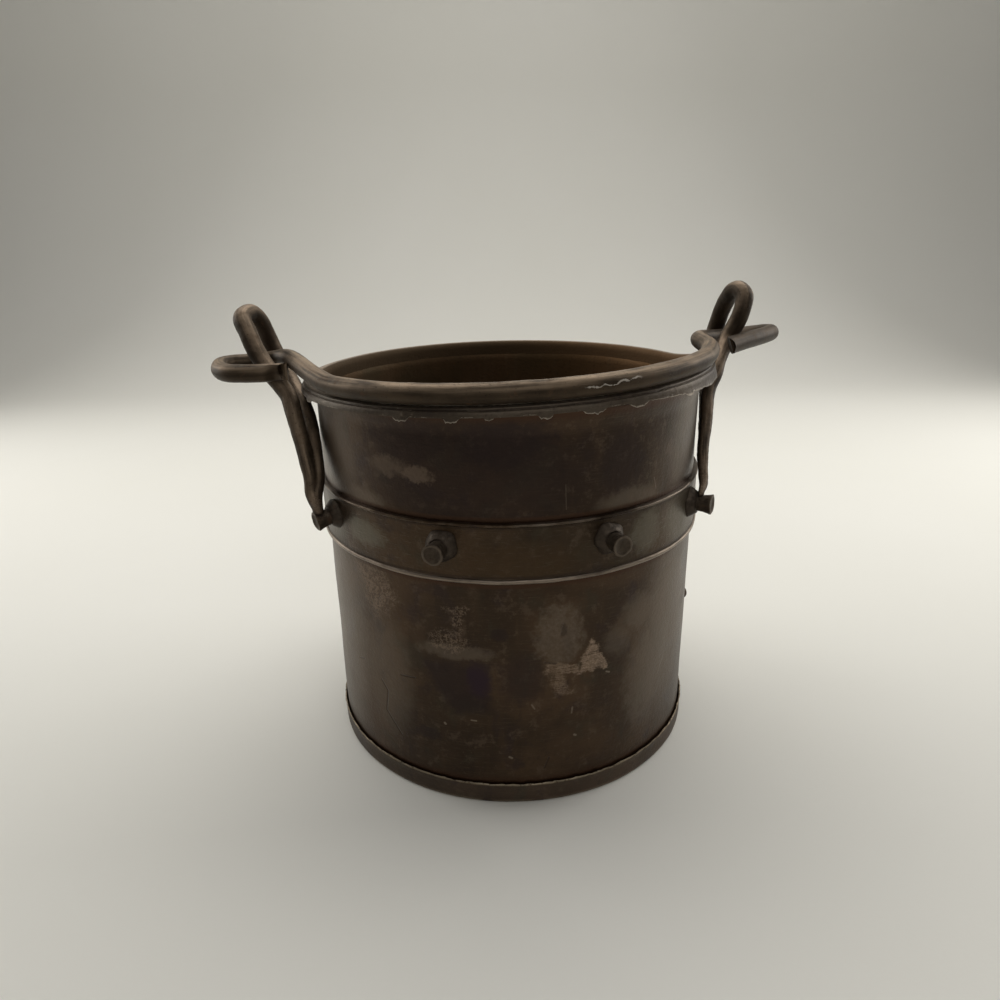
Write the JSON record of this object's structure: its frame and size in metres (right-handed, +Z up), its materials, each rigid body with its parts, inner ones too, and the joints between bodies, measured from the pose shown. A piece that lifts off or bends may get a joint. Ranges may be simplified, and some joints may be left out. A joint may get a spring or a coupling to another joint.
{
  "type": "riveted metal bucket",
  "caption": "Straight-sided old metal bucket with a bent-rod rim, two forged hanging ears and a belly hoop set with studs; its bail is missing.",
  "frame": {"origin": "centre of the flat underside, on the surface that the bucket stands on", "axes": "+Z up through the bucket's axis, +X to the bucket's right where the higher ear is, -Y towards the front"},
  "size_m": [0.3804, 0.2695, 0.2989],
  "materials": {
    "body_sheet": "dark patina",
    "dark_sheet": "dark patina",
    "hoop_sheet": "dark patina",
    "strip_metal": "dull",
    "forged_rod": "worn brown",
    "stud_metal": "worn brown",
    "rivet_metal": "dark patina"
  },
  "bodies": {
    "root": {"base_pan": "dark_sheet", "wall": "body_sheet", "belly_hoop": "hoop_sheet", "rim_strip": "strip_metal", "rim_rod": "forged_rod", "ear_left": "forged_rod", "ear_right": "forged_rod", "stud_1": "stud_metal", "stud_2": "stud_metal", "stud_3": "stud_metal", "stud_4": "stud_metal", "stud_5": "stud_metal", "stud_6": "stud_metal", "stud_7": "stud_metal", "stud_8": "stud_metal", "collar_1": "stud_metal", "collar_2": "stud_metal", "collar_3": "stud_metal", "collar_4": "stud_metal", "collar_5": "stud_metal", "collar_6": "stud_metal", "collar_7": "stud_metal", "collar_8": "stud_metal", "side_rivet": "rivet_metal"}
  },
  "joints": []
}
